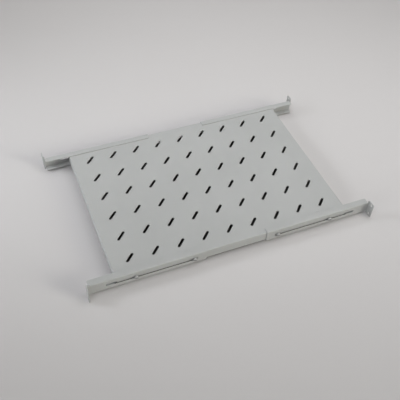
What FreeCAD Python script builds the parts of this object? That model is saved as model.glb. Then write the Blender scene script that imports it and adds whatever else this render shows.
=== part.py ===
import FreeCAD, Part

import math
import os

from FreeCAD import Vector

# Depth-adjustable rack shelf, in millimetres.
# X runs along the rack's depth (the front is -X), Y across the rack (the left is +Y), Z up from the ears' lower edges.
# A slotted, folded panel hangs in four folded slide brackets; screws through the brackets' long slots clamp it.

os.makedirs("parts", exist_ok=True)

# Rack ears: the hole columns and the hole pitch are those of the 19-inch standard
EAR_HOLE_SPAN = 465.1  # between the hole columns of a left and a right ear
EAR_HOLE_PITCH = 31.75  # between the two holes of one ear
EAR_HOLE_DIAMETER = 6.8
EAR_HOLE_TO_EDGE = 8.75  # sideways, to the ear's outer edge
EAR_HOLE_TO_END = 5.925  # up or down, to the ear's nearer end
EAR_HOLE_TO_WEB = 10.25  # sideways, to the bracket's web
EAR_CORNER = 3.0
EAR_ROOT = 2.0  # flat strip left between the corner notches and the ear's bend

# Shelf panel
PANEL_LENGTH = 620.0
PANEL_SHEET = 1.5
PANEL_BEND = 1.0  # inside radius
PANEL_FLANGE = 26.0  # the same height all round
PANEL_END_LIP = 10.0  # folded back under each end
PANEL_CORNER_RELIEF = 1.0  # each flange stops this far short of the next flange's bend

# Diagonal slots in the panel, in a lattice that fills it up to the margins
SLOT_COLUMNS = 9
SLOT_ROWS = 6
SLOT_LENGTH = 30.0
SLOT_WIDTH = 7.0
SLOT_LEAN = 45.0  # degrees, from X towards Y
SLOT_END_MARGIN = 50.0  # from a panel end to the nearest slots' centres
SLOT_SIDE_MARGIN = 45.0  # from a panel side to the nearest slots' centres

# Slide brackets; their length follows from the travel of the screws
BRACKET_SHEET = 2.0
BRACKET_BEND = 1.0  # inside radius
BRACKET_FLANGE = 17.0
BRACKET_CORNER = 3.0
BRACKET_NOTCH = 2.5  # width of the corner notches where the web, a flange and the ear meet
BRACKET_INNER_MARGIN = 23.0  # from the long slot to the bracket's inner end
BRACKET_OUTER_MARGIN = 40.5  # from the long slot to the flanges' outer ends
TRAVEL_OUT = 4.5
TRAVEL_IN = 70.0

# Screws, washers and nuts
SCREW_DIAMETER = 6.0
SCREW_TIP = 0.6
SCREW_BEYOND_NUT = 1.3
SCREW_PITCH = 148.0  # between the two screws of one bracket
SCREW_INSET = 50.0  # from the panel's end to the outer screw
HEAD_DIAMETER = 10.5
HEAD_HEIGHT = 3.9
HEAD_SHOULDER = 1.6  # width and height of the head's slope
RECESS_SPAN = 6.0  # across the mouth of the cross recess
RECESS_WIDTH = 1.4
RECESS_DEPTH = 2.4
RECESS_FLOOR = 2.8  # across the bottom of the cross recess
WASHER_DIAMETER = 12.5
WASHER_THICKNESS = 1.6
NUT_FLATS = 10.0
NUT_HEIGHT = 5.0
NUT_CHAMFER = 30.0  # degrees

# Clearances
SLIDE_GAP = 0.3  # from a bracket to the panel inside it and to the washers outside it
UNDER_GAP = 2.7  # from the panel's side flange down to the bracket's lower flange
TRAVEL_END_GAP = 0.5  # from a screw to the long slot's end when the travel is used up
TRAVEL_SLOT_GAP = 0.5  # from a screw to the long slot's edges
NOTCH_GAP = 0.5  # the corner notches' straight sides run this far past the channel's bends
SCREW_HOLE_GAP = 0.3
WASHER_GAP = 0.2
THREAD_GAP = 0.02
TOUCH = 1e-6  # points closer than this are one point

# Across the rack, from the middle
EAR_EDGE = EAR_HOLE_SPAN / 2 + EAR_HOLE_TO_EDGE
WEB_OUTER = EAR_HOLE_SPAN / 2 - EAR_HOLE_TO_WEB
WEB_INNER = WEB_OUTER - BRACKET_SHEET
FLANGE_EDGE = WEB_OUTER - BRACKET_FLANGE
PANEL_SIDE = WEB_INNER - SLIDE_GAP
NUT_SEAT = PANEL_SIDE - PANEL_SHEET
NUT_FACE = NUT_SEAT - NUT_HEIGHT
WASHER_SEAT = WEB_OUTER + SLIDE_GAP
HEAD_SEAT = WASHER_SEAT + WASHER_THICKNESS

# Up from the ears' lower edges
EAR_HEIGHT = EAR_HOLE_PITCH + 2 * EAR_HOLE_TO_END
MID_HEIGHT = EAR_HEIGHT / 2
CHANNEL_HEIGHT = PANEL_FLANGE + SLIDE_GAP + UNDER_GAP + 2 * BRACKET_SHEET
CHANNEL_TOP = MID_HEIGHT + CHANNEL_HEIGHT / 2
CHANNEL_BOTTOM = MID_HEIGHT - CHANNEL_HEIGHT / 2
PANEL_TOP = CHANNEL_TOP - BRACKET_SHEET - SLIDE_GAP

# Along the rack's depth, from the middle
PANEL_END = PANEL_LENGTH / 2
OUTER_SCREW = PANEL_END - SCREW_INSET
INNER_SCREW = OUTER_SCREW - SCREW_PITCH
TRAVEL_SLOT_START = INNER_SCREW - SCREW_DIAMETER / 2 - TRAVEL_OUT - TRAVEL_END_GAP
TRAVEL_SLOT_END = OUTER_SCREW + SCREW_DIAMETER / 2 + TRAVEL_IN + TRAVEL_END_GAP
BRACKET_START = TRAVEL_SLOT_START - BRACKET_INNER_MARGIN
FLANGE_END = TRAVEL_SLOT_END + BRACKET_OUTER_MARGIN
NOTCH_START = FLANGE_END - BRACKET_NOTCH
EAR_FACE = FLANGE_END + EAR_ROOT + BRACKET_BEND + BRACKET_SHEET

# Sketch planes as across, up and the direction of extrusion
SIDE_VIEW = (Vector(0, 1, 0), Vector(0, 0, 1), Vector(1, 0, 0))
FRONT_VIEW = (Vector(1, 0, 0), Vector(0, 0, 1), Vector(0, 1, 0))
TOP_VIEW = (Vector(1, 0, 0), Vector(0, 1, 0), Vector(0, 0, 1))


def rounded_face(points, radii, view):
    """Face with a closed outline through 2-D points; each corner gets its own radius, and 0 leaves it sharp."""
    across, up, _ = view
    corners = [across * u + up * v for u, v in points]
    bends = []
    for index, corner in enumerate(corners):
        back = (corners[index - 1] - corner).normalize()
        ahead = (corners[(index + 1) % len(corners)] - corner).normalize()
        half_angle = back.getAngle(ahead) / 2
        reach = radii[index] / math.tan(half_angle)
        inset = radii[index] / math.sin(half_angle) - radii[index]
        middle = corner + (back + ahead).normalize() * inset
        bends.append((corner + back * reach, middle, corner + ahead * reach))
    edges = []
    for index, (start, middle, end) in enumerate(bends):
        last_end = bends[index - 1][2]
        if not last_end.isEqual(start, TOUCH):
            edges.append(Part.LineSegment(last_end, start).toShape())
        if not start.isEqual(end, TOUCH):
            edges.append(Part.Arc(start, middle, end).toShape())
    return Part.Face(Part.Wire(edges))


def prism(points, radii, view, start, end):
    """Solid of an outline drawn in a view, between two distances along the view's direction of extrusion."""
    along = view[2]
    face = rounded_face(points, radii, view)
    face.translate(along * start)
    return face.extrude(along * (end - start))


def rectangle(low, high):
    """Corner points of a 2-D rectangle, counter-clockwise from the lowest."""
    return [(low[0], low[1]), (high[0], low[1]), (high[0], high[1]), (low[0], high[1])]


def obround(low, high, view, start, end):
    """Bar that fills a 2-D rectangle, longer across than up, and ends in half rounds; for cutting slots."""
    radius = (high[1] - low[1]) / 2
    return prism(rectangle(low, high), [radius] * 4, view, start, end)


def folded_sheet(path, sheet, inside_radius, view, start, end):
    """Solid of a folded sheet: the path is the section's outer face, in left turns, and the sheet lies on its left."""
    steps = [(b[0] - a[0], b[1] - a[1]) for a, b in zip(path, path[1:])]
    lefts = [Vector(-v, u, 0).normalize() for u, v in steps]
    inner_path = []
    for point, before, after in zip(path, lefts[:1] + lefts, lefts + lefts[-1:]):
        shift = (before + after) * (sheet / (1 + before.dot(after)))
        inner_path.append((point[0] + shift.x, point[1] + shift.y))
    bends = len(path) - 2
    outer_radii = [0] + [inside_radius + sheet] * bends + [0]
    inner_radii = [0] + [inside_radius] * bends + [0]
    return prism(path + inner_path[::-1], outer_radii + inner_radii, view, start, end)


def turned(section):
    """Solid turned about the screw axis of the right side, from a half section of (radius, Y) points."""
    face = rounded_face(section, [0] * len(section), TOP_VIEW)
    return face.revolve(Vector(), Vector(0, 1, 0), 360).translated(Vector(0, 0, MID_HEIGHT))


def spread(count, half_span):
    """Evenly spaced positions from -half_span to half_span."""
    return [half_span * (2 * index / (count - 1) - 1) for index in range(count)]


def make_panel():
    """Slotted panel with flanges down all four sides and a lip folded back under each end."""
    bottom = PANEL_TOP - PANEL_FLANGE
    lip_edge = PANEL_END - PANEL_END_LIP
    side_path = [
        (PANEL_SIDE, bottom), (PANEL_SIDE, PANEL_TOP), (-PANEL_SIDE, PANEL_TOP), (-PANEL_SIDE, bottom),
    ]
    end_path = [
        (lip_edge, bottom), (PANEL_END, bottom), (PANEL_END, PANEL_TOP),
        (-PANEL_END, PANEL_TOP), (-PANEL_END, bottom), (-lip_edge, bottom),
    ]
    corner = PANEL_SHEET + PANEL_BEND + PANEL_CORNER_RELIEF
    half_length = PANEL_END - corner
    half_width = PANEL_SIDE - corner
    sides = folded_sheet(side_path, PANEL_SHEET, PANEL_BEND, SIDE_VIEW, -half_length, half_length)
    ends = folded_sheet(end_path, PANEL_SHEET, PANEL_BEND, FRONT_VIEW, -half_width, half_width)

    slot_corner = (SLOT_LENGTH / 2, SLOT_WIDTH / 2)
    slot_start = (-SLOT_LENGTH / 2, -SLOT_WIDTH / 2)
    slot = obround(slot_start, slot_corner, TOP_VIEW, PANEL_TOP - 2 * PANEL_SHEET, PANEL_TOP + PANEL_SHEET)
    slot.rotate(Vector(), Vector(0, 0, 1), SLOT_LEAN)
    cutters = []
    for x in spread(SLOT_COLUMNS, PANEL_END - SLOT_END_MARGIN):
        for y in spread(SLOT_ROWS, PANEL_SIDE - SLOT_SIDE_MARGIN):
            cutters.append(slot.translated(Vector(x, y, 0)))
    hole_radius = SCREW_DIAMETER / 2 + SCREW_HOLE_GAP
    for x in (-OUTER_SCREW, -INNER_SCREW, INNER_SCREW, OUTER_SCREW):
        start = Vector(x, -WEB_OUTER, MID_HEIGHT)
        cutters.append(Part.makeCylinder(hole_radius, 2 * WEB_OUTER, start, Vector(0, 1, 0)))
    return sides.fuse(ends).removeSplitter().cut(Part.makeCompound(cutters))


def make_bracket():
    """Rear right bracket: a channel round the panel's edge, with a long slot and a rack ear bent outwards."""
    channel_path = [
        (-FLANGE_EDGE, CHANNEL_TOP), (-WEB_OUTER, CHANNEL_TOP),
        (-WEB_OUTER, CHANNEL_BOTTOM), (-FLANGE_EDGE, CHANNEL_BOTTOM),
    ]
    notch_radius = BRACKET_NOTCH / 2
    notch_depth = BRACKET_SHEET + BRACKET_BEND + NOTCH_GAP + notch_radius
    channel = folded_sheet(channel_path, BRACKET_SHEET, BRACKET_BEND, SIDE_VIEW, BRACKET_START, FLANGE_END)
    channel_plan = [
        (BRACKET_START, -WEB_OUTER), (NOTCH_START, -WEB_OUTER), (NOTCH_START, notch_depth - WEB_OUTER),
        (FLANGE_END, notch_depth - WEB_OUTER), (FLANGE_END, -FLANGE_EDGE), (BRACKET_START, -FLANGE_EDGE),
    ]
    plan_radii = [0, 0, notch_radius, 0, BRACKET_CORNER, BRACKET_CORNER]
    channel = channel.common(prism(channel_plan, plan_radii, TOP_VIEW, CHANNEL_BOTTOM, CHANNEL_TOP))

    ear_path = [(EAR_FACE, -EAR_EDGE), (EAR_FACE, -WEB_INNER), (NOTCH_START, -WEB_INNER)]
    ear = folded_sheet(ear_path, BRACKET_SHEET, BRACKET_BEND, TOP_VIEW, 0, EAR_HEIGHT)
    ear_outline = rectangle((-EAR_EDGE, 0), (-WEB_INNER, EAR_HEIGHT))
    ear = ear.common(prism(ear_outline, [EAR_CORNER, 0, 0, EAR_CORNER], SIDE_VIEW, NOTCH_START, EAR_FACE))

    notch_outline = rectangle((NOTCH_START, CHANNEL_TOP - notch_depth), (FLANGE_END, EAR_HEIGHT))
    notch = prism(notch_outline, [notch_radius, notch_radius, 0, 0], FRONT_VIEW, -WEB_OUTER, -WEB_INNER)
    lower_notch = notch.rotated(Vector(NOTCH_START + notch_radius, 0, MID_HEIGHT), Vector(0, 1, 0), 180)
    half_slot = SCREW_DIAMETER / 2 + TRAVEL_SLOT_GAP
    slot_low = (TRAVEL_SLOT_START, MID_HEIGHT - half_slot)
    slot_high = (TRAVEL_SLOT_END, MID_HEIGHT + half_slot)
    cutters = [notch, lower_notch, obround(slot_low, slot_high, FRONT_VIEW, -WEB_OUTER, -WEB_INNER)]
    for z in spread(2, EAR_HOLE_PITCH / 2):
        start = Vector(FLANGE_END, -EAR_HOLE_SPAN / 2, MID_HEIGHT + z)
        cutters.append(Part.makeCylinder(EAR_HOLE_DIAMETER / 2, EAR_FACE - FLANGE_END, start, Vector(1, 0, 0)))
    return channel.fuse(ear).removeSplitter().cut(Part.makeCompound(cutters))


def make_screw():
    """Pan-head screw on the right side, with a sloping shoulder, a tapered cross recess and a chamfered tip."""
    radius = SCREW_DIAMETER / 2
    head_radius = HEAD_DIAMETER / 2
    head_end = HEAD_SEAT + HEAD_HEIGHT
    tip = NUT_FACE - SCREW_BEYOND_NUT
    blank = turned([
        (0, -head_end), (head_radius - HEAD_SHOULDER, -head_end), (head_radius, HEAD_SHOULDER - head_end),
        (head_radius, -HEAD_SEAT), (radius, -HEAD_SEAT),
        (radius, -tip - SCREW_TIP), (radius - SCREW_TIP, -tip), (0, -tip),
    ])
    wing_outline = [
        (-RECESS_SPAN / 2, -head_end), (RECESS_SPAN / 2, -head_end),
        (RECESS_FLOOR / 2, RECESS_DEPTH - head_end), (-RECESS_FLOOR / 2, RECESS_DEPTH - head_end),
    ]
    wing_start = MID_HEIGHT - RECESS_WIDTH / 2
    wing = prism(wing_outline, [0] * 4, TOP_VIEW, wing_start, wing_start + RECESS_WIDTH)
    return blank.cut(wing.fuse(wing.rotated(Vector(0, 0, MID_HEIGHT), Vector(0, 1, 0), 90)))


def make_washer():
    """Plain washer under the screw's head, wide enough to bridge the long slot."""
    hole_radius = SCREW_DIAMETER / 2 + WASHER_GAP
    return turned(rectangle((hole_radius, -HEAD_SEAT), (WASHER_DIAMETER / 2, -WASHER_SEAT)))


def make_nut():
    """Hexagon nut against the inside of the panel's side flange, chamfered on its free face."""
    corner_radius = NUT_FLATS / 2 / math.cos(math.pi / 6)
    corner_angles = [math.pi / 3 * corner for corner in range(6)]
    hexagon = [(corner_radius * math.cos(angle), corner_radius * math.sin(angle)) for angle in corner_angles]
    blank = prism(hexagon, [0] * len(hexagon), FRONT_VIEW, -NUT_SEAT, -NUT_FACE)
    slope = NUT_FLATS / 2 * math.tan(math.radians(NUT_CHAMFER))
    thread_radius = SCREW_DIAMETER / 2 + THREAD_GAP
    turned_form = turned([
        (thread_radius, -NUT_SEAT), (NUT_FLATS, -NUT_SEAT), (NUT_FLATS, -NUT_FACE - slope),
        (NUT_FLATS / 2, -NUT_FACE), (thread_radius, -NUT_FACE),
    ])
    return blank.translated(Vector(0, 0, MID_HEIGHT)).common(turned_form)


def save(name, shape):
    """Writes one node as its own file."""
    shape.exportStep(os.path.join("parts", name + ".step"))


save("shelf_panel", make_panel())

# One bracket serves every corner: turned round, turned over sideways or turned over end for end
bracket = make_bracket()
middle = Vector(0, 0, MID_HEIGHT)
save("bracket_rear_right", bracket)
save("bracket_front_left", bracket.rotated(middle, Vector(0, 0, 1), 180))
save("bracket_rear_left", bracket.rotated(middle, Vector(1, 0, 0), 180))
save("bracket_front_right", bracket.rotated(middle, Vector(0, 1, 0), 180))

for kind, right_fastener in (("screw", make_screw()), ("washer", make_washer()), ("nut", make_nut())):
    left_fastener = right_fastener.rotated(Vector(), Vector(0, 0, 1), 180)
    for side, fastener in (("right", right_fastener), ("left", left_fastener)):
        for place, distance in (("inner", INNER_SCREW), ("outer", OUTER_SCREW)):
            save(f"{kind}_front_{side}_{place}", fastener.translated(Vector(-distance, 0, 0)))
            save(f"{kind}_rear_{side}_{place}", fastener.translated(Vector(distance, 0, 0)))
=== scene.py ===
import logging
import math
from collections.abc import Callable
from dataclasses import dataclass
from enum import Enum

import bmesh
import bpy
from mathutils import Matrix, Vector


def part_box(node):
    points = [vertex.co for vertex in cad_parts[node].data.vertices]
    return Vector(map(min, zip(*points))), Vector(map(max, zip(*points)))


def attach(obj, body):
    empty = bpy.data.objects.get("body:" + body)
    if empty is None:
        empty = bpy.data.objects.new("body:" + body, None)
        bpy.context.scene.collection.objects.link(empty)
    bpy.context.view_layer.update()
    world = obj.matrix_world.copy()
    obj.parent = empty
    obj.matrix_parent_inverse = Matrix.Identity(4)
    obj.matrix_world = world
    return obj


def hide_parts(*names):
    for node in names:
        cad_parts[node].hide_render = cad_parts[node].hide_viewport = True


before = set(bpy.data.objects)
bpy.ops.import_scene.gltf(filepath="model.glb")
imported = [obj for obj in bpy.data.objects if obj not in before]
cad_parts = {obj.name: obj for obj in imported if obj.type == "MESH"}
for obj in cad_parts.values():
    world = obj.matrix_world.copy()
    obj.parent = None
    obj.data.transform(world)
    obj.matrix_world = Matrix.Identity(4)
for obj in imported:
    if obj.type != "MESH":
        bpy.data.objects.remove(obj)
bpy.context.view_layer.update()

# Depth-adjustable rack shelf: finishes, softened sheet edges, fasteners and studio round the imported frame.
# All lengths are in metres. The shelf's depth runs along X, its width along Y, and Z is up.

LOG = logging.getLogger("rack_shelf")
MM = 0.001
WHITE = (1.0, 1.0, 1.0, 1.0)
Colour = tuple[float, float, float, float]
Triple = tuple[float, float, float]
Pair = tuple[float, float]


class End(Enum):
    """Which end of the shelf a piece belongs to; the value is its direction along X."""

    FRONT = -1
    REAR = 1


class Side(Enum):
    """Which side of the shelf a piece belongs to; the value is its direction along Y."""

    LEFT = 1
    RIGHT = -1


class Place(Enum):
    """Which of a bracket's two screws a fastener belongs to."""

    INNER = "inner"
    OUTER = "outer"


@dataclass
class NodeGraph:
    """A material's or world's node tree, with short calls for adding and joining nodes."""

    tree: bpy.types.NodeTree

    def add(self, kind: str, inputs: dict[str | int, object] | None = None,
            **settings: object) -> bpy.types.Node:
        """Adds one node.

        Args:
            kind: the node's Blender type name.
            inputs: socket name or number to the value set on it, or to the socket linked to it.
            settings: properties of the node itself.

        Returns:
            The new node.
        """
        node = self.tree.nodes.new(kind)
        for name, value in settings.items():
            setattr(node, name, value)
        for key, value in (inputs or {}).items():
            if isinstance(value, bpy.types.NodeSocket):
                self.tree.links.new(value, node.inputs[key])
            else:
                node.inputs[key].default_value = value
        return node

    def noise(self, place: bpy.types.NodeSocket, scale: float, detail: float = 2.0) -> bpy.types.NodeSocket:
        """Adds a noise texture on a coordinate and returns its value."""
        inputs = {"Vector": place, "Scale": scale, "Detail": detail}
        return self.add("ShaderNodeTexNoise", inputs).outputs["Fac"]

    def remap(self, value: bpy.types.NodeSocket, low: float, high: float,
              from_low: float = 0.3, from_high: float = 0.7) -> bpy.types.NodeSocket:
        """Adds a clamped linear remap of a value, by default a noise's, and returns its result."""
        limits = {"Value": value, "From Min": from_low, "From Max": from_high, "To Min": low, "To Max": high}
        return self.add("ShaderNodeMapRange", limits).outputs["Result"]

    def mix(self, share: bpy.types.NodeSocket, first: Colour | bpy.types.NodeSocket,
            second: Colour | bpy.types.NodeSocket) -> bpy.types.NodeSocket:
        """Adds a mix of two colours, with this share of the second, and returns its result."""
        inputs = {"Factor": share, "A": first, "B": second}
        return self.add("ShaderNodeMix", inputs, data_type="RGBA").outputs["Result"]

    def bump(self, height: bpy.types.NodeSocket, strength: float, distance: float) -> bpy.types.NodeSocket:
        """Adds a bump by a height and returns its normal."""
        inputs = {"Height": height, "Strength": strength, "Distance": distance}
        return self.add("ShaderNodeBump", inputs).outputs["Normal"]

    def maths(self, operation: str, *values: bpy.types.NodeSocket | float) -> bpy.types.NodeSocket:
        """Adds one operation on values and returns its result."""
        return self.add("ShaderNodeMath", dict(enumerate(values)), operation=operation).outputs["Value"]

    def inside_box(self, place: bpy.types.NodeSocket, middle: Triple, half: Triple) -> bpy.types.NodeSocket:
        """Adds a mask that is 1 inside a box, which is repeated on the other side of each middle plane.

        Args:
            place: the coordinate.
            middle: the box's middle.
            half: half its size along each axis.

        Returns:
            The mask's value.
        """
        away = self.add("ShaderNodeVectorMath", {0: place}, operation="ABSOLUTE").outputs["Vector"]
        axes = self.add("ShaderNodeSeparateXYZ", {"Vector": away}).outputs
        along, across, up = (self.maths("COMPARE", *limits) for limits in zip(axes, middle, half))
        return self.maths("MULTIPLY", self.maths("MULTIPLY", along, across), up)

    def coat(self, sockets: dict[str, object]) -> None:
        """Adds a Principled shader with these sockets set and sends it to the surface."""
        shader = self.add("ShaderNodeBsdfPrincipled", sockets).outputs["BSDF"]
        self.add("ShaderNodeOutputMaterial", {"Surface": shader})


def new_material(name: str) -> tuple[bpy.types.Material, NodeGraph]:
    """Makes an empty node material.

    Args:
        name: the material's name.

    Returns:
        The material, and the graph of its node tree.
    """
    material = bpy.data.materials.new(name)
    material.use_nodes = True
    material.node_tree.nodes.clear()
    return material, NodeGraph(material.node_tree)


@dataclass(frozen=True)
class PowderCoat:
    """Light grey powder coat on sheet steel: a satin skin with a fine grain.

    It is thinner and paler on edges, and carries painted shade: the walls of the brackets' long slots are
    painted dark, so the slots read as deep shadow lines.
    """

    name: str = "powder_coat_light_grey"
    pale: Colour = (0.414, 0.422, 0.420, 1.0)
    deep: Colour = (0.386, 0.394, 0.392, 1.0)
    edge: Colour = (0.435, 0.443, 0.441, 1.0)
    cloud_scale: float = 7.0
    cloud_detail: float = 4.0
    grain_scale: float = 1500.0
    grain_height: float = 0.04 * MM
    grain_strength: float = 0.5
    speck_share: float = 0.35
    speck_range: Pair = (0.45, 0.75)
    roughness: Pair = (0.52, 0.64)
    refraction: float = 1.45
    edge_radius: float = 0.5 * MM
    edge_samples: int = 4
    edge_range: Pair = (0.8, 0.98)
    # Painted shade: a dark colour on the walls of the brackets' long slots, inside this box.
    painted_slot_shade: Colour = (0.12, 0.12, 0.118, 1.0)
    painted_slot_shade_middle: Triple = (206.0 * MM, 221.3 * MM, 21.8 * MM)
    painted_slot_shade_half: Triple = (106.0 * MM, 0.9 * MM, 3.7 * MM)

    def build(self) -> bpy.types.Material:
        """Builds the material.

        Returns:
            The finished material.
        """
        material, graph = new_material(self.name)
        place = graph.add("ShaderNodeTexCoord").outputs["Object"]
        clouds = graph.noise(place, self.cloud_scale, self.cloud_detail)
        grain = graph.noise(place, self.grain_scale)
        tone = graph.mix(graph.remap(clouds, 0.0, 1.0), self.deep, self.pale)
        tone = graph.mix(graph.remap(grain, 0.0, self.speck_share, *self.speck_range), tone, self.deep)
        tone = graph.mix(self.edge_mask(graph), tone, self.edge)
        # Painted shade: the long slots' walls take the dark colour, so the slots look like deep shadow lines.
        tone = graph.mix(graph.inside_box(place, self.painted_slot_shade_middle, self.painted_slot_shade_half), tone, self.painted_slot_shade)
        graph.coat({
            "Base Color": tone, "Roughness": graph.remap(grain, *self.roughness), "IOR": self.refraction,
            "Normal": graph.bump(grain, self.grain_strength, self.grain_height),
        })
        return material

    def edge_mask(self, graph: NodeGraph) -> bpy.types.NodeSocket:
        """Adds a mask that is 1 on sharp edges, from how far a rounded normal leans from the true one.

        Args:
            graph: the material's graph.

        Returns:
            The mask's value.
        """
        rounded = graph.add("ShaderNodeBevel", {"Radius": self.edge_radius}, samples=self.edge_samples)
        flat = graph.add("ShaderNodeNewGeometry")
        normals = {0: rounded.outputs["Normal"], 1: flat.outputs["Normal"]}
        lean = graph.add("ShaderNodeVectorMath", normals, operation="DOT_PRODUCT").outputs["Value"]
        return graph.remap(lean, 1.0, 0.0, *self.edge_range)


@dataclass(frozen=True)
class ZincPlate:
    """Zinc plating on fasteners, dulled and faintly cloudy, with fine tool marks."""

    name: str = "dulled_zinc"
    bright: Colour = (0.42, 0.43, 0.43, 1.0)
    dull: Colour = (0.33, 0.33, 0.32, 1.0)
    cloud_scale: float = 420.0
    cloud_detail: float = 3.0
    mark_scale: float = 2600.0
    mark_height: float = 0.01 * MM
    mark_strength: float = 0.4
    roughness: Pair = (0.40, 0.55)

    def build(self) -> bpy.types.Material:
        """Builds the material.

        Returns:
            The finished material.
        """
        material, graph = new_material(self.name)
        place = graph.add("ShaderNodeTexCoord").outputs["Object"]
        clouds = graph.noise(place, self.cloud_scale, self.cloud_detail)
        marks = graph.noise(place, self.mark_scale)
        tone = graph.mix(graph.remap(clouds, 0.0, 1.0), self.dull, self.bright)
        graph.coat({
            "Base Color": tone, "Metallic": 1.0, "Roughness": graph.remap(clouds, *self.roughness),
            "Normal": graph.bump(marks, self.mark_strength, self.mark_height),
        })
        return material


@dataclass(frozen=True)
class StudioPaper:
    """Matt paper of the studio floor, with a painted shadow: dark under the panel, where the slots look black;
    and painted light: paler far off.
    """

    name: str = "studio_paper"
    near: Colour = (0.592, 0.579, 0.584, 1.0)
    far: Colour = (0.93, 0.92, 0.925, 1.0)
    near_reach: float = 1.3
    far_reach: float = 2.4
    under: Colour = (0.16, 0.157, 0.158, 1.0)
    under_middle: Triple = (0.0, 0.0, 0.0)
    under_half: Triple = (0.302, 0.214, 0.01)
    roughness: float = 0.95

    def build(self) -> bpy.types.Material:
        """Builds the material.

        Returns:
            The finished material.
        """
        material, graph = new_material(self.name)
        place = graph.add("ShaderNodeTexCoord").outputs["Object"]
        # Painted light: the paper grows paler with distance, where the lamps light it less.
        distance = graph.add("ShaderNodeVectorMath", {0: place}, operation="LENGTH").outputs["Value"]
        outwards = graph.remap(distance, 0.0, 1.0, self.near_reach, self.far_reach)
        tone = graph.mix(outwards, self.near, self.far)
        # Painted shadow: the floor under the panel is painted dark, so the slots above it look black.
        tone = graph.mix(graph.inside_box(place, self.under_middle, self.under_half), tone, self.under)
        graph.coat({"Base Color": tone, "Roughness": self.roughness, "Specular IOR Level": 0.0})
        return material


def weigh_normals(mesh: bpy.types.Mesh) -> None:
    """Gives each vertex the mean of its faces' normals by area, so that flats stay flat beside bends.

    Args:
        mesh: the mesh, changed in place.
    """
    sums = [Vector() for _ in mesh.vertices]
    for face in mesh.polygons:
        for index in face.vertices:
            sums[index] += face.normal * face.area
    mesh.normals_split_custom_set_from_vertices([total.normalized() for total in sums])


def new_piece(name: str, shape: bmesh.types.BMesh, material: bpy.types.Material) -> bpy.types.Object:
    """Turns a finished shape into a smooth, linked object.

    Args:
        name: the piece's name.
        shape: its form, in the frame's own place; freed here.
        material: its finish.

    Returns:
        The new object.
    """
    for face in shape.faces:
        face.smooth = True
    mesh = bpy.data.meshes.new(name)
    shape.to_mesh(mesh)
    shape.free()
    mesh.materials.append(material)
    piece = bpy.data.objects.new(name, mesh)
    bpy.context.scene.collection.objects.link(piece)
    LOG.info("%s: %d faces in %s", name, len(mesh.polygons), material.name)
    return piece


@dataclass
class SheetPart:
    """A folded sheet-metal piece: its CAD node's surface, with cut edges rounded as a coat leaves them."""

    node: str
    body: str
    edge_radius: float = 0.3 * MM
    edge_segments: int = 2
    weld: float = 0.001 * MM
    flat_angle: float = math.radians(0.5)
    sharp_angle: float = math.radians(50.0)

    def build(self, coat: bpy.types.Material) -> None:
        """Builds the piece in place of its node.

        Args:
            coat: the sheet's finish.
        """
        shape = bmesh.new()
        shape.from_mesh(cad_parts[self.node].data)
        bmesh.ops.remove_doubles(shape, verts=shape.verts, dist=self.weld)
        bmesh.ops.dissolve_limit(shape, angle_limit=self.flat_angle, verts=shape.verts, edges=shape.edges)
        bmesh.ops.recalc_face_normals(shape, faces=shape.faces)
        sharp = [edge for edge in shape.edges if edge.calc_face_angle(0.0) > self.sharp_angle]
        bmesh.ops.bevel(shape, geom=sharp, offset=self.edge_radius, segments=self.edge_segments, profile=0.5,
                        affect="EDGES", material=-1)
        piece = new_piece(f"{self.node}_skin", shape, coat)
        weigh_normals(piece.data)
        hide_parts(self.node)
        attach(piece, self.body)


@dataclass(frozen=True)
class Spot:
    """One of the panel's eight screw holes."""

    end: End
    side: Side
    place: Place

    def node(self, kind: str) -> str:
        """Name of the CAD node of the screw, washer or nut at this hole."""
        return f"{kind}_{self.end.name.lower()}_{self.side.name.lower()}_{self.place.value}"

    def turn(self) -> Matrix:
        """Finds where a piece built along Z, from the shelf's middle outwards, goes for this hole.

        Returns:
            The matrix that takes it there.
        """
        low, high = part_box(self.node("screw"))
        axis = Vector(((low.x + high.x) / 2, 0.0, (low.z + high.z) / 2))
        outwards = Vector((0.0, self.side.value, 0.0)).to_track_quat("Z", "X")
        return Matrix.Translation(axis) @ outwards.to_matrix().to_4x4()


def always(value: float) -> Callable[[float], float]:
    """A function that gives the same value for any argument."""
    return lambda _: value


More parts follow.
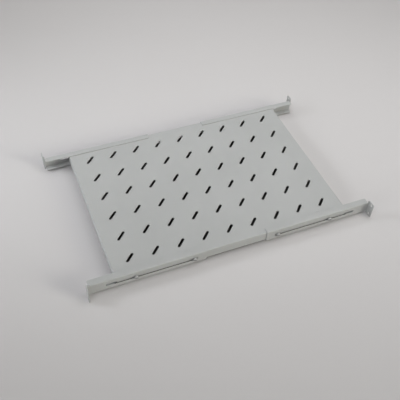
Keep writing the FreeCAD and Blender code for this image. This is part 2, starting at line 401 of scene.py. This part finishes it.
@dataclass
class Fasteners:
    """Screws, washers and nuts: each kind is built once along Z, and a copy is set at every hole."""

    spots: list[Spot]
    steps: int = 48
    thread_radius: float = 3.0 * MM
    thread_pitch: float = 1.0 * MM
    thread_depth: float = 0.61 * MM
    thread_root: float = 0.125
    thread_crest: float = 0.12
    thread_lead: int = 2
    tip_chamfer: float = 0.6 * MM
    head_flat: float = 3.4 * MM
    head_wall: float = 1.2 * MM
    head_curve_steps: int = 8
    recess_span: float = 6.0 * MM
    recess_width: float = 1.4 * MM
    recess_floor: float = 2.8 * MM
    recess_depth: float = 2.4 * MM
    washer_bore: float = 3.2 * MM
    washer_edge: float = 0.2 * MM
    washer_edge_segments: int = 2
    nut_slope: float = math.tan(math.radians(30.0))
    nut_mouth: float = 3.4 * MM
    sharp_angle: float = math.radians(30.0)
    weld: float = 0.001 * MM

    def reach(self, kind: str) -> Pair:
        """Inner and outer distance of the screw, washer or nut from the shelf's middle."""
        low, high = sorted(self.spots[0].side.value * corner.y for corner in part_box(self.spots[0].node(kind)))
        return low, high

    def radius(self, kind: str) -> float:
        """Largest radius of the screw, washer or nut about its axis."""
        low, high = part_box(self.spots[0].node(kind))
        return (high.x - low.x) / 2

    def build(self, zinc: bpy.types.Material) -> None:
        """Builds the pieces in place of their nodes.

        Args:
            zinc: their finish.
        """
        makers: dict[str, Callable[[bmesh.types.BMesh], None]] = {
            "screw": self.add_screw, "washer": self.add_washer, "nut": self.add_nut,
        }
        for kind, maker in makers.items():
            model = bmesh.new()
            maker(model)
            self.finish(model)
            for spot in self.spots:
                shape = model.copy()
                bmesh.ops.transform(shape, matrix=spot.turn(), verts=shape.verts)
                piece = new_piece(f"{spot.node(kind)}_detail", shape, zinc)
                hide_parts(spot.node(kind))
                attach(piece, "shelf")
            model.free()

    def finish(self, shape: bmesh.types.BMesh) -> None:
        """Cleans a shape and marks its sharp edges.

        Args:
            shape: the whole of a screw, washer or nut.
        """
        bmesh.ops.remove_doubles(shape, verts=shape.verts, dist=self.weld)
        bmesh.ops.recalc_face_normals(shape, faces=shape.faces)
        for edge in shape.edges:
            edge.smooth = edge.calc_face_angle(0.0) < self.sharp_angle

    def spin_section(self, shape: bmesh.types.BMesh, section: list[Pair], closed: bool) -> None:
        """Adds a full turn of a half section.

        Args:
            shape: where it goes.
            section: points as radius and height.
            closed: whether the last point joins the first.
        """
        verts = [shape.verts.new((radius, 0.0, height)) for radius, height in section]
        ahead = verts[1:] + verts[:1] if closed else verts[1:]
        edges = [shape.edges.new(pair) for pair in zip(verts, ahead)]
        bmesh.ops.spin(shape, geom=verts + edges, cent=(0, 0, 0), axis=(0, 0, 1), angle=math.tau,
                       steps=self.steps, use_merge=True)

    def add_screw(self, shape: bmesh.types.BMesh) -> None:
        """Adds a pan head with a cross recess on a threaded shank.

        Args:
            shape: where it goes.
        """
        tip, top = self.reach("screw")
        seat = self.reach("washer")[1]
        self.add_thread(shape, tip, seat)
        self.add_head(shape, seat, top)

    def add_head(self, shape: bmesh.types.BMesh, seat: float, top: float) -> None:
        """Adds the head between its seat and its top.

        Args:
            shape: where it goes.
            seat: height of the washer's face.
            top: height of the head's flat.
        """
        rim = self.radius("screw")
        section = [(0.0, seat), (rim, seat)]
        for step in range(self.head_curve_steps + 1):
            angle = math.pi / 2 * step / self.head_curve_steps
            radius = self.head_flat + (rim - self.head_flat) * math.cos(angle)
            section.append((radius, seat + self.head_wall + (top - seat - self.head_wall) * math.sin(angle)))
        self.spin_section(shape, section, closed=False)
        bmesh.ops.remove_doubles(shape, verts=shape.verts, dist=self.weld)
        flat_edges = [edge for edge in shape.edges if edge.is_boundary]
        mouth = self.add_recess(shape, top)
        bmesh.ops.triangle_fill(shape, use_beauty=True, edges=flat_edges + mouth)

    def add_recess(self, shape: bmesh.types.BMesh, top: float) -> list[bmesh.types.BMEdge]:
        """Adds the walls and floor of the cross recess.

        Args:
            shape: where they go.
            top: height of the head's flat.

        Returns:
            The edges of the recess's mouth.
        """
        span, width, floor = self.recess_span / 2, self.recess_width / 2, self.recess_floor / 2
        wing = [Vector((span, -width, top)), Vector((span, width, top)), Vector((width, width, top))]
        outline = []
        for quarter in range(4):
            turn = Matrix.Rotation(math.pi / 2 * quarter, 4, "Z")
            outline += [turn @ corner for corner in wing]
        lid = shape.faces.new([shape.verts.new(corner) for corner in outline])
        mouth = list(lid.edges)
        grown = bmesh.ops.extrude_face_region(shape, geom=[lid])["geom"]
        for vert in (item for item in grown if isinstance(item, bmesh.types.BMVert)):
            vert.co.x = max(-floor, min(floor, vert.co.x))
            vert.co.y = max(-floor, min(floor, vert.co.y))
            vert.co.z = top - self.recess_depth
        if lid.is_valid:
            bmesh.ops.delete(shape, geom=[lid], context="FACES_ONLY")
        return mouth

    def add_thread(self, shape: bmesh.types.BMesh, tip: float, seat: float) -> None:
        """Adds the shank: one pitch of a thread's section swept along a helix, cut flat at both ends.

        Args:
            shape: where it goes.
            tip: height of the shank's end.
            seat: height at which the shank meets the head.
        """
        crest, root, pitch = self.thread_radius, self.thread_radius - self.thread_depth, self.thread_pitch
        rise = 0.5 - self.thread_crest / 2
        section = [(root, 0.0), (root, self.thread_root), (crest, rise), (crest, 1.0 - rise),
                   (root, 1.0 - self.thread_root), (root, 1.0)]
        start = tip - pitch * self.thread_lead
        verts = [shape.verts.new((radius, 0.0, start + pitch * share)) for radius, share in section]
        edges = [shape.edges.new(pair) for pair in zip(verts, verts[1:])]
        turns = math.ceil((seat - tip) / pitch) + self.thread_lead + 1
        bmesh.ops.spin(shape, geom=verts + edges, cent=(0, 0, 0), axis=(0, 0, 1), angle=math.tau * turns,
                       dvec=(0, 0, pitch / self.steps), steps=self.steps * turns)
        bmesh.ops.remove_doubles(shape, verts=shape.verts, dist=self.weld)
        for height, keep in ((tip, 1), (seat, -1)):
            everything = shape.verts[:] + shape.edges[:] + shape.faces[:]
            cut = bmesh.ops.bisect_plane(shape, geom=everything, dist=self.weld, plane_co=(0, 0, height),
                                         plane_no=(0, 0, keep), clear_inner=True)["geom_cut"]
            rim = [item for item in cut if isinstance(item, bmesh.types.BMEdge)]
            bmesh.ops.edgeloop_fill(shape, edges=rim)
        for vert in shape.verts:
            limit = self.thread_radius - max(0.0, self.tip_chamfer - (vert.co.z - tip))
            distance = vert.co.xy.length
            if distance > limit:
                vert.co.xy *= limit / distance

    def add_washer(self, shape: bmesh.types.BMesh) -> None:
        """Adds a flat ring with softened rims.

        Args:
            shape: where it goes.
        """
        low, high = self.reach("washer")
        rim = self.radius("washer")
        section = [(self.washer_bore, low), (rim, low), (rim, high), (self.washer_bore, high)]
        self.spin_section(shape, section, closed=True)
        rims = [edge for edge in shape.edges if edge.calc_face_angle(0.0) > self.sharp_angle]
        bmesh.ops.bevel(shape, geom=rims, offset=self.washer_edge, segments=self.washer_edge_segments,
                        profile=0.5, affect="EDGES", material=-1)

    def add_nut(self, shape: bmesh.types.BMesh) -> None:
        """Adds a hexagon nut: rings bridged over its flats and chamfer and through its bore, right round.

        Args:
            shape: where it goes.
        """
        seat, face = sorted(self.reach("nut"), reverse=True)
        half_side = math.pi / 6
        flat = self.radius("nut") * math.cos(half_side)
        bevel = self.nut_mouth - self.thread_radius

        def hexagon(angle: float) -> float:
            """Distance of the hexagon's outline from the axis at an angle."""
            return flat / math.cos(angle % (2 * half_side) - half_side)

        def chamfer(distance: float) -> float:
            """Height of the chamfer at a distance from the axis."""
            return face + (distance - flat) * self.nut_slope

        def ring(radius: Callable[[float], float],
                 height: Callable[[float], float]) -> list[bmesh.types.BMEdge]:
            """Adds one closed ring.

            Args:
                radius: distance from the axis by angle.
                height: height by distance from the axis.

            Returns:
                The ring's edges.
            """
            verts = bmesh.ops.create_circle(shape, segments=self.steps, radius=1.0)["verts"]
            for vert in verts:
                angle = math.atan2(vert.co.y, vert.co.x)
                distance = radius(angle)
                vert.co = (distance * math.cos(angle), distance * math.sin(angle), height(distance))
            return list({edge for vert in verts for edge in vert.link_edges})

        rings = [
            ring(hexagon, always(seat)),
            ring(hexagon, chamfer),
            ring(always(flat), always(face)),
            ring(always(self.nut_mouth), always(face)),
            ring(always(self.thread_radius), always(face + bevel)),
            ring(always(self.thread_radius), always(seat - bevel)),
            ring(always(self.nut_mouth), always(seat)),
        ]
        for here, ahead in zip(rings, rings[1:] + rings[:1]):
            bmesh.ops.bridge_loops(shape, edges=here + ahead)


@dataclass(frozen=True)
class Lamp:
    """A round soft lamp aimed at a point; it lights the object but isn't seen itself."""

    name: str
    place: Triple
    target: Triple
    size: float
    power: float
    colour: Triple = WHITE[:3]
    spread: float = math.pi

    def hang(self) -> None:
        """Adds the lamp to the scene."""
        data = bpy.data.lights.new(self.name, "AREA")
        data.shape = "DISK"
        data.size = self.size
        data.energy = self.power
        data.color = self.colour
        data.spread = self.spread
        lamp = bpy.data.objects.new(self.name, data)
        lamp.location = self.place
        lamp.rotation_mode = "QUATERNION"
        lamp.rotation_quaternion = (Vector(self.target) - Vector(self.place)).to_track_quat("-Z", "Y")
        lamp.visible_camera = False
        bpy.context.scene.collection.objects.link(lamp)


@dataclass(frozen=True)
class Studio:
    """Pale floor, soft light and the camera that looks on the shelf as the photograph does."""

    floor_radius: float = 5.0
    floor_steps: int = 96
    world_strength: float = 0.024
    background: Colour = (0.52, 0.515, 0.52, 1.0)
    lamps: tuple[Lamp, ...] = (
        Lamp("over_left_side", (0.0, 0.9, 1.3), (0.0, 0.9, 0.0), size=0.9, power=4.7),
        Lamp("over_rear", (0.7, 0.0, 1.3), (0.7, 0.0, 0.0), size=0.9, power=7.4),
        Lamp("front_right_high", (-8.84, -8.84, 21.65), (0.0, 0.0, 0.0), size=10.0, power=1380.0,
             colour=(0.98, 0.99, 1.0)),
        Lamp("front_low", (-22.05, -8.91, 7.73), (0.0, 0.0, 0.0), size=10.0, power=1370.0),
        Lamp("rear_right_low", (16.81, -16.81, 7.73), (0.0, 0.0, 0.0), size=10.0, power=3750.0,
             colour=(1.0, 0.97, 0.87)),
        Lamp("front_left", (-1.6, 0.71, 0.89), (-0.2, 0.1, 0.0), size=0.8, power=1.95,
             colour=(0.96, 0.98, 1.0), spread=math.radians(60.0)),
    )
    camera_place: Triple = (-0.48365, -1.03769, 1.22371)
    camera_right: Triple = (0.92594, -0.37533, 0.04195)
    camera_up: Triple = (0.25297, 0.69886, 0.66903)
    focal_pixels: float = 620.25
    image_pixels: float = 400.0
    centre_drop_pixels: float = 0.5
    sensor: float = 36.0

    def lay_floor(self) -> None:
        """Lays a round floor under the ears."""
        mesh = bpy.data.meshes.new("floor")
        shape = bmesh.new()
        bmesh.ops.create_circle(shape, cap_ends=True, segments=self.floor_steps, radius=self.floor_radius)
        shape.to_mesh(mesh)
        shape.free()
        floor = bpy.data.objects.new("floor", mesh)
        mesh.materials.append(StudioPaper().build())
        bpy.context.scene.collection.objects.link(floor)

    def light(self) -> None:
        """Sets a faint even surrounding, seen as a pale backdrop, and hangs the lamps."""
        world = bpy.data.worlds.new("studio")
        bpy.context.scene.world = world
        world.use_nodes = True
        world.node_tree.nodes.clear()
        graph = NodeGraph(world.node_tree)
        path = graph.add("ShaderNodeLightPath").outputs
        seen = graph.maths("MAXIMUM", path["Is Camera Ray"], path["Is Glossy Ray"])
        seen = graph.maths("MAXIMUM", seen, path["Is Transmission Ray"])
        tent = graph.add("ShaderNodeBackground", {"Color": WHITE, "Strength": self.world_strength})
        backdrop = graph.add("ShaderNodeBackground", {"Color": self.background, "Strength": 1.0})
        shown = {0: seen, 1: tent.outputs["Background"], 2: backdrop.outputs["Background"]}
        mixed = graph.add("ShaderNodeMixShader", shown).outputs["Shader"]
        graph.add("ShaderNodeOutputWorld", {"Surface": mixed})
        for lamp in self.lamps:
            lamp.hang()

    def set_camera(self) -> None:
        """Places the camera found from the photograph's slot lattice."""
        data = bpy.data.cameras.new("camera")
        data.sensor_width = self.sensor
        data.lens = self.focal_pixels / self.image_pixels * self.sensor
        data.shift_y = self.centre_drop_pixels / self.image_pixels
        camera = bpy.data.objects.new("camera", data)
        right = Vector(self.camera_right).normalized()
        up = Vector(self.camera_up)
        up = (up - right * up.dot(right)).normalized()
        turn = Matrix((right, up, right.cross(up))).transposed()
        camera.matrix_world = Matrix.Translation(self.camera_place) @ turn.to_4x4()
        bpy.context.scene.collection.objects.link(camera)
        bpy.context.scene.camera = camera


def main() -> None:
    """Builds and dresses the shelf's pieces and sets up the studio."""
    logging.basicConfig(level=logging.INFO, format="%(name)s: %(message)s")
    coat = PowderCoat().build()
    zinc = ZincPlate().build()
    SheetPart("shelf_panel", "shelf").build(coat)
    for end in End:
        for side in Side:
            corner = f"{end.name.lower()}_{side.name.lower()}"
            SheetPart(f"bracket_{corner}", f"slide_{corner}").build(coat)
    Fasteners([Spot(end, side, place) for end in End for side in Side for place in Place]).build(zinc)
    studio = Studio()
    studio.lay_floor()
    studio.light()
    studio.set_camera()
    bpy.context.scene.view_settings.view_transform = "Standard"


if __name__ == "__main__":
    main()
